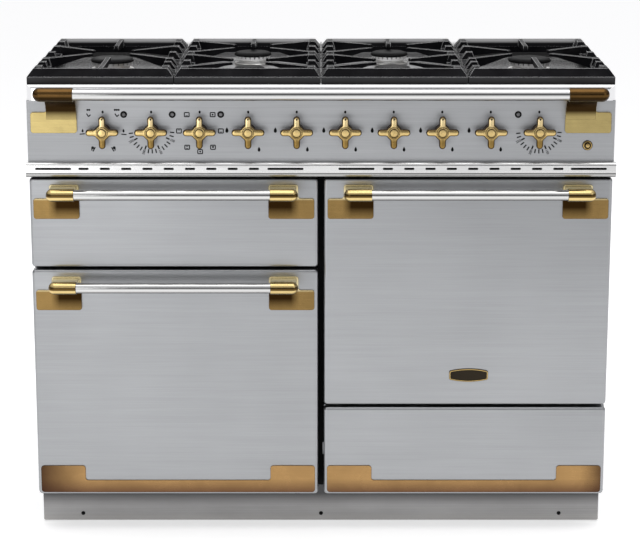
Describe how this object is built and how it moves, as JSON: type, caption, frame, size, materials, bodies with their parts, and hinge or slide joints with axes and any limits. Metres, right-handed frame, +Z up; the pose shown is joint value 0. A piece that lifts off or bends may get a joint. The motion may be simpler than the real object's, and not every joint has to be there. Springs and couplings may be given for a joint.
{
  "type": "dual fuel range cooker",
  "caption": "Wide freestanding range cooker: gas hob with cast iron pan supports, grill, two ovens and a storage drawer, brushed steel fronts with brass fittings.",
  "frame": {"origin": "on the floor, under the middle of the whole cooker's box", "axes": "+X to the cooker's right as seen from its front, +Y from the fronts to the back, +Z up"},
  "size_m": [1.098, 0.671, 0.905],
  "materials": {
    "brushed_steel": "fine horizontal brushing",
    "polished_steel": "polished",
    "hob_steel": "polished edge, satin well",
    "brass": "lacquered antique brass",
    "cast_iron": "matt black vitreous enamel",
    "black_enamel": "gloss vitreous enamel",
    "dark_frame": "satin black",
    "grey_paint": "satin grey",
    "side_paint": "satin dark grey",
    "galvanised": "galvanised",
    "burner_alloy": "as cast",
    "element": "heat darkened",
    "wire_chrome": "bright wire",
    "switch_plastic": "heat resistant moulding",
    "lens": "dark indicator lens",
    "foot": "black"
  },
  "bodies": {
    "cooker_body": {"base_frame": "galvanised", "levelling_feet": "foot", "plinth_panel": "grey_paint", "side_panels": "side_paint", "rear_panel": "galvanised", "front_frame": "dark_frame", "hob_tray": "hob_steel", "control_panel": "brushed_steel", "vent_trim": "polished_steel", "rail_rod": "polished_steel", "rail_brackets": "brass", "indicator_lenses": "lens", "burner_bases": "burner_alloy", "burner_crowns": "burner_alloy", "burner_caps": "black_enamel", "gas_pipework": "galvanised", "gas_taps": "brass", "oven_switches": "switch_plastic", "left_oven_liner": "black_enamel", "right_oven_liner": "black_enamel", "grill_chamber": "black_enamel", "shelf_ladders": "wire_chrome", "oven_shelves": "wire_chrome", "heating_elements": "element", "fan_motors": "galvanised", "grill_pan": "black_enamel", "drawer_runners": "galvanised"},
    "left_oven_fan": {"left_oven_fan": "burner_alloy"},
    "right_oven_fan": {"right_oven_fan": "burner_alloy"},
    "ignition_button": {"ignition_button": "brass"},
    "storage_drawer": {"drawer_front": "brushed_steel", "drawer_box": "galvanised", "drawer_trim": "brass"},
    "grill_door": {"grill_door_panel": "brushed_steel", "grill_door_inner": "black_enamel", "grill_door_rod": "polished_steel", "grill_door_brackets": "brass"},
    "left_oven_door": {"left_oven_door_panel": "brushed_steel", "left_oven_door_inner": "black_enamel", "left_oven_door_rod": "polished_steel", "left_oven_door_brackets": "brass", "left_oven_door_trim": "brass"},
    "right_oven_door": {"right_oven_door_panel": "brushed_steel", "right_oven_door_inner": "black_enamel", "right_oven_door_rod": "polished_steel", "right_oven_door_brackets": "brass"},
    "knob_1": {"knob_1": "brass"},
    "knob_2": {"knob_2": "brass"},
    "knob_3": {"knob_3": "brass"},
    "knob_4": {"knob_4": "brass"},
    "knob_5": {"knob_5": "brass"},
    "knob_6": {"knob_6": "brass"},
    "knob_7": {"knob_7": "brass"},
    "knob_8": {"knob_8": "brass"},
    "knob_9": {"knob_9": "brass"},
    "knob_10": {"knob_10": "brass"},
    "pan_support_1": {"pan_support_1": "cast_iron"},
    "pan_support_2": {"pan_support_2": "cast_iron"},
    "pan_support_3": {"pan_support_3": "cast_iron"},
    "pan_support_4": {"pan_support_4": "cast_iron"}
  },
  "joints": [
    {"name": "grill_door_hinge", "type": "hinge", "parent": "cooker_body", "child": "grill_door", "pos_m": [0, -0.2555, 0.538], "axis": [1, 0, 0], "range_deg": [0, 90]},
    {"name": "left_oven_door_hinge", "type": "hinge", "parent": "cooker_body", "child": "left_oven_door", "pos_m": [0, -0.2555, 0.086], "axis": [1, 0, 0], "range_deg": [0, 90]},
    {"name": "right_oven_door_hinge", "type": "hinge", "parent": "cooker_body", "child": "right_oven_door", "pos_m": [0, -0.2555, 0.2665], "axis": [1, 0, 0], "range_deg": [0, 90]},
    {"name": "storage_drawer_slide", "type": "slide", "parent": "cooker_body", "child": "storage_drawer", "axis": [0, -1, 0], "range_m": [0, 0.34]},
    {"name": "knob_1_turn", "type": "hinge", "parent": "cooker_body", "child": "knob_1", "pos_m": [-0.405, -0.2685, 0.7905], "axis": [0, 1, 0], "range_deg": [0, 270]},
    {"name": "knob_2_turn", "type": "hinge", "parent": "cooker_body", "child": "knob_2", "pos_m": [-0.315, -0.2685, 0.7905], "axis": [0, 1, 0], "range_deg": [0, 275]},
    {"name": "knob_3_turn", "type": "hinge", "parent": "cooker_body", "child": "knob_3", "pos_m": [-0.225, -0.2685, 0.7905], "axis": [0, 1, 0], "continuous": true},
    {"name": "knob_4_turn", "type": "hinge", "parent": "cooker_body", "child": "knob_4", "pos_m": [-0.135, -0.2685, 0.7905], "axis": [0, -1, 0], "range_deg": [0, 210]},
    {"name": "knob_5_turn", "type": "hinge", "parent": "cooker_body", "child": "knob_5", "pos_m": [-0.045, -0.2685, 0.7905], "axis": [0, -1, 0], "range_deg": [0, 210]},
    {"name": "knob_6_turn", "type": "hinge", "parent": "cooker_body", "child": "knob_6", "pos_m": [0.045, -0.2685, 0.7905], "axis": [0, -1, 0], "range_deg": [0, 210]},
    {"name": "knob_7_turn", "type": "hinge", "parent": "cooker_body", "child": "knob_7", "pos_m": [0.135, -0.2685, 0.7905], "axis": [0, -1, 0], "range_deg": [0, 210]},
    {"name": "knob_8_turn", "type": "hinge", "parent": "cooker_body", "child": "knob_8", "pos_m": [0.225, -0.2685, 0.7905], "axis": [0, -1, 0], "range_deg": [0, 210]},
    {"name": "knob_9_turn", "type": "hinge", "parent": "cooker_body", "child": "knob_9", "pos_m": [0.315, -0.2685, 0.7905], "axis": [0, -1, 0], "range_deg": [0, 210]},
    {"name": "knob_10_turn", "type": "hinge", "parent": "cooker_body", "child": "knob_10", "pos_m": [0.405, -0.2685, 0.7905], "axis": [0, 1, 0], "range_deg": [0, 275]},
    {"name": "ignition_press", "type": "slide", "parent": "cooker_body", "child": "ignition_button", "axis": [0, 1, 0], "range_m": [0, 0.003], "stiffness_N_per_m": 500, "springref_m": -0.002},
    {"name": "pan_support_1_lift", "type": "slide", "parent": "cooker_body", "child": "pan_support_1", "axis": [0, 0, 1], "range_m": [0, 0.06]},
    {"name": "pan_support_2_lift", "type": "slide", "parent": "cooker_body", "child": "pan_support_2", "axis": [0, 0, 1], "range_m": [0, 0.06]},
    {"name": "pan_support_3_lift", "type": "slide", "parent": "cooker_body", "child": "pan_support_3", "axis": [0, 0, 1], "range_m": [0, 0.06]},
    {"name": "pan_support_4_lift", "type": "slide", "parent": "cooker_body", "child": "pan_support_4", "axis": [0, 0, 1], "range_m": [0, 0.06]},
    {"name": "left_oven_fan_spin", "type": "hinge", "parent": "cooker_body", "child": "left_oven_fan", "pos_m": [-0.27575, 0.1955, 0.306], "axis": [0, 1, 0], "continuous": true},
    {"name": "right_oven_fan_spin", "type": "hinge", "parent": "cooker_body", "child": "right_oven_fan", "pos_m": [0.27575, 0.1955, 0.48475], "axis": [0, 1, 0], "continuous": true}
  ]
}
